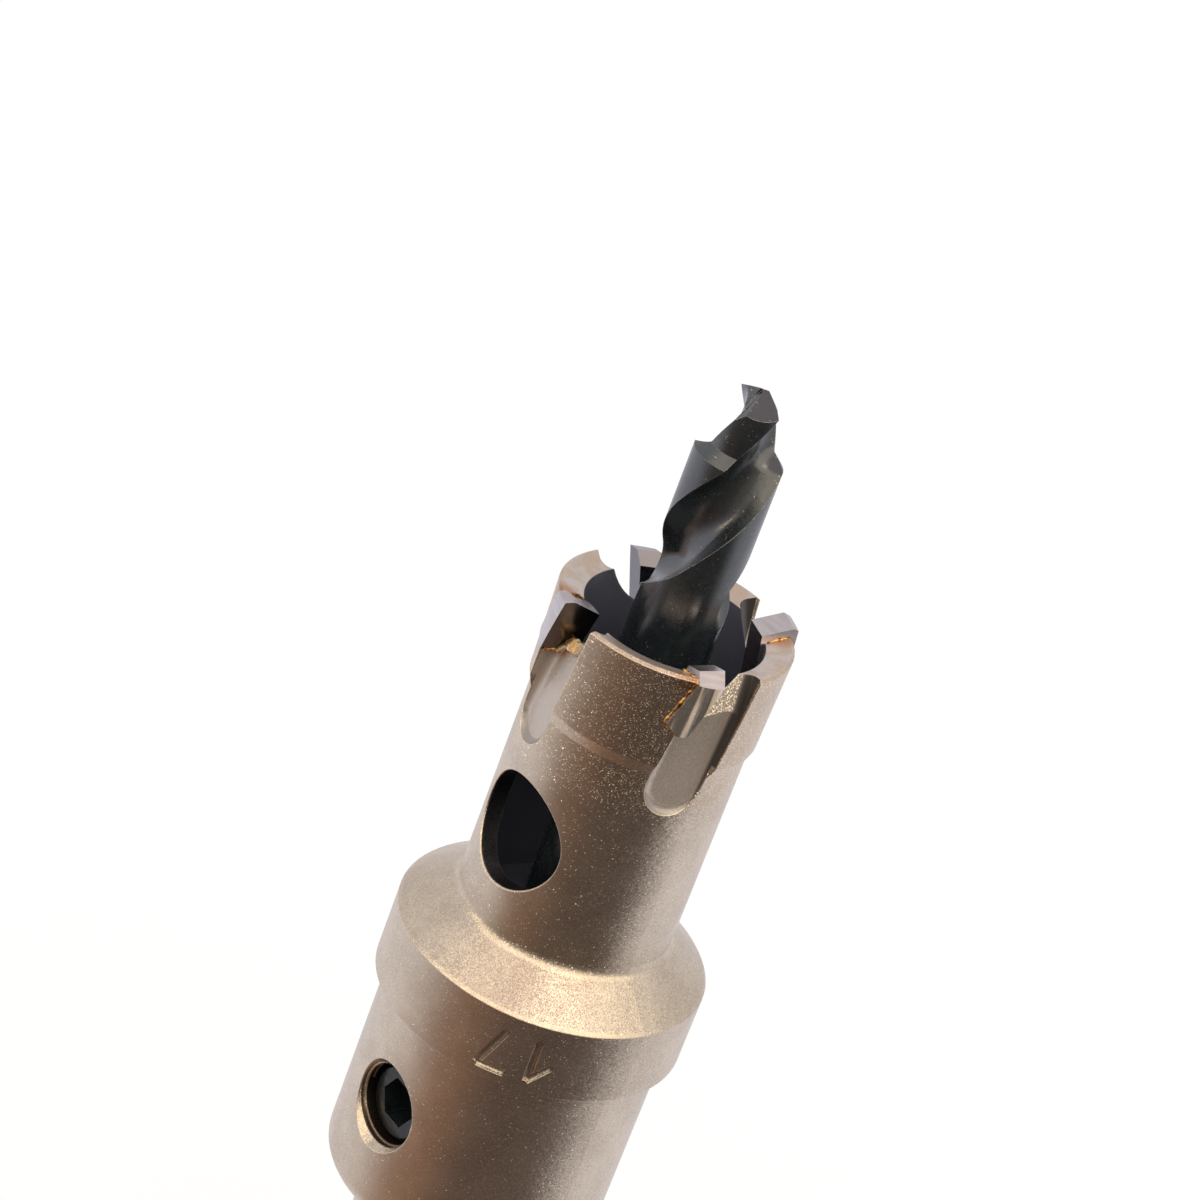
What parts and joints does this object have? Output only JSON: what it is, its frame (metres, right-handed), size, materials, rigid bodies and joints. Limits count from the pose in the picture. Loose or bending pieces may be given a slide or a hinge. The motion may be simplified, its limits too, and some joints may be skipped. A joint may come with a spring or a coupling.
{
  "type": "hole saw",
  "caption": "Small carbide-tipped hole saw with a step pilot drill, a side window for the slug, a collar and a 13 mm shank; the set screw on its side clamps the drill.",
  "frame": {"origin": "on the axis, in the plane of the lower body's underside, where the 13 mm shank begins", "axes": "+Z along the axis towards the teeth and the drill's point; the side window and the set screw face -Y; +X completes the right-handed frame"},
  "size_m": [0.022, 0.022, 0.093],
  "materials": {
    "cutter_body": "bead-blasted satin, warm nickel-gold",
    "carbide": "ground",
    "pilot_drill": "black oxide, satin",
    "set_screw": "black oxide, semi-gloss"
  },
  "bodies": {
    "root": {"cutter_body": "cutter_body", "carbide_tip_1": "carbide", "carbide_tip_2": "carbide", "carbide_tip_3": "carbide", "carbide_tip_4": "carbide", "pilot_drill": "pilot_drill", "set_screw": "set_screw"}
  },
  "joints": []
}
